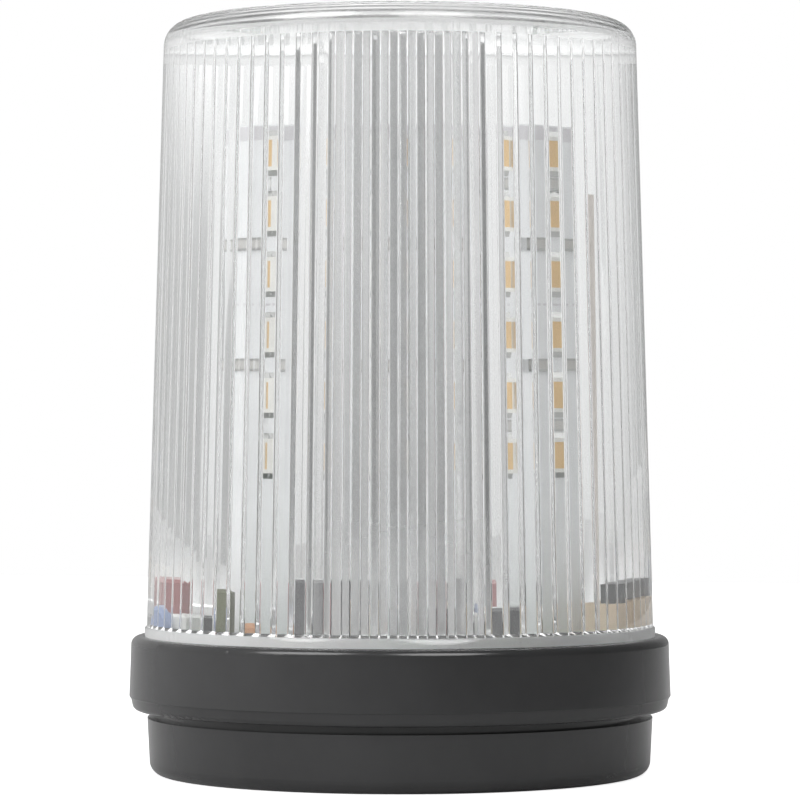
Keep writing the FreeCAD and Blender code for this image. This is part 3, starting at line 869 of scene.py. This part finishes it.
def make_floor():
    """Pale floor under the lamp."""
    z = cad_box[0][2]
    corners = [(-FLOOR_HALF, -FLOOR_HALF, z), (FLOOR_HALF, -FLOOR_HALF, z),
               (FLOOR_HALF, FLOOR_HALF, z), (-FLOOR_HALF, FLOOR_HALF, z)]
    floor = new_object("floor", corners, [(0, 1, 2, 3)])
    material, tree, shader, output = new_material("floor_white")
    shader.inputs["Base Color"].default_value = (*FLOOR_COLOUR, 1.0)
    shader.inputs["Roughness"].default_value = FLOOR_ROUGH
    glow = tree.nodes.new("ShaderNodeEmission")
    tree.links.new(floor_glow(tree), glow.inputs["Strength"])
    both = tree.nodes.new("ShaderNodeAddShader")
    tree.links.new(shader.outputs["BSDF"], both.inputs[0])
    tree.links.new(glow.outputs["Emission"], both.inputs[1])
    tree.links.new(both.outputs["Shader"], output.inputs["Surface"])
    floor.data.materials.append(material)


def make_screen():
    """Screen on the floor at the right, paler towards its top and seen only through the lens."""
    first, last = SCREEN_ARC
    points = []
    for i in range(SCREEN_STEPS + 1):
        azimuth = CAMERA_AZIMUTH + first + (last - first) * i / SCREEN_STEPS
        points += [polar(azimuth, SCREEN_R, z) for z in (cad_box[0][2], SCREEN_TOP)]
    faces = [(2 * i, 2 * i + 2, 2 * i + 3, 2 * i + 1) for i in range(SCREEN_STEPS)]
    screen = new_object("screen", points, faces)
    material, tree, shader, _ = new_material("screen_grey")
    shader.inputs["Base Color"].default_value = (*BLACK, 1.0)
    shader.inputs["Emission Color"].default_value = (*WHITE, 1.0)
    place = tree.nodes.new("ShaderNodeTexCoord")
    level = level_along(tree, place.outputs["Object"], UP, SCREEN_STOPS)
    tree.links.new(level, shader.inputs["Emission Strength"])
    screen.data.materials.append(material)
    screen.visible_camera = False
    screen.visible_diffuse = False
    screen.visible_glossy = False
    screen.visible_shadow = False


def make_key_lamp():
    """Wide soft lamp from the left, which shows in no reflection."""
    data = bpy.data.lights.new("key", "AREA")
    data.shape = "DISK"
    data.size = KEY_SIZE
    data.energy = KEY_POWER
    lamp = bpy.data.objects.new("key", data)
    bpy.context.scene.collection.objects.link(lamp)
    aim = Vector((0.0, 0.0, KEY_AIM))
    level_reach = KEY_DISTANCE * math.cos(KEY_ELEVATION)
    lift = KEY_DISTANCE * math.sin(KEY_ELEVATION)
    lamp.location = Vector(polar(KEY_AZIMUTH, level_reach, lift)) + aim
    lamp.rotation_euler = (aim - lamp.location).to_track_quat("-Z", "Y").to_euler()
    lamp.visible_camera = False
    lamp.visible_glossy = False
    lamp.visible_transmission = False


def make_camera():
    """Camera at the side that the lamp is shown from."""
    data = bpy.data.cameras.new("camera")
    data.lens = CAMERA_LENS
    data.sensor_width = SENSOR
    camera = bpy.data.objects.new("camera", data)
    bpy.context.scene.collection.objects.link(camera)
    camera.location = polar(CAMERA_AZIMUTH, CAMERA_DISTANCE, CAMERA_HEIGHT)
    aim = Vector((0.0, 0.0, CAMERA_AIM)) - camera.location
    camera.rotation_euler = aim.to_track_quat("-Z", "Y").to_euler()
    bpy.context.scene.camera = camera


def add_lens():
    """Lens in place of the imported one, with its finishes in the order of their places."""
    lens = make_lens()
    add_piece(lens, "cover", "clear_lens", "lens")
    lens.data.materials.append(clear_plastic("lens_flutes", HAZE, VEIL, FLUTE_ROUGH))
    lens.data.materials.append(clear_plastic("matt_foot", FOOT_HAZE, FOOT_HAZE, FOOT_ROUGH))
    lens.data.materials.append(clear_plastic("lens_rim", HAZE, HAZE, RIM_ROUGH))


def add_led_trim():
    """Solder, pads, tracks and a grey strip across the top of the LED boards."""
    solder = moulded("solder", (0.50, 0.50, 0.49), 0.35, metallic=1.0)
    # Grey, slightly metallic finish of the strip across the top of each board
    top_strip_finish = moulded("grey_top_strip", (0.72, 0.71, 0.73), 0.45, metallic=0.3)
    add_to_faces("led_solder", led_solder(), "screw_steel", solder)
    add_to_faces("led_top_strip_and_pads", led_top_strip_and_pads(), "screw_steel", top_strip_finish)
    add_to_faces("led_tracks", led_tracks(), "board_white")


def add_board_trim():
    """Tape, capacitor ends and screw recesses on the control board."""
    add_piece(tape_band("transformer_core", *TAPE_SPAN), "base", "winding_tape")
    scores = ([], [])
    for node in ("electrolytic_large", "electrolytic_small"):
        add_can_top(node, scores)
    add_piece(shade(new_object("vent_scores", *scores)), "base", "chip_black")
    add_piece(shade(new_object("screw_recesses", *screw_recesses())), "base", "chip_black")


chip_grey = moulded("chip_grey", (0.57, 0.56, 0.54), 0.4)
dress_nodes({"led_chips_" + face: chip_grey for face in FACES})
add_lens()
add_led_trim()
add_board_trim()
make_world()
make_floor()
make_screen()
make_key_lamp()
make_camera()

scene = bpy.context.scene
scene.view_settings.view_transform = "Standard"
scene.cycles.max_bounces = CLEAR_BOUNCES
scene.cycles.transmission_bounces = CLEAR_BOUNCES
scene.cycles.glossy_bounces = GLOSSY_BOUNCES
scene.cycles.transparent_max_bounces = CLEAR_BOUNCES
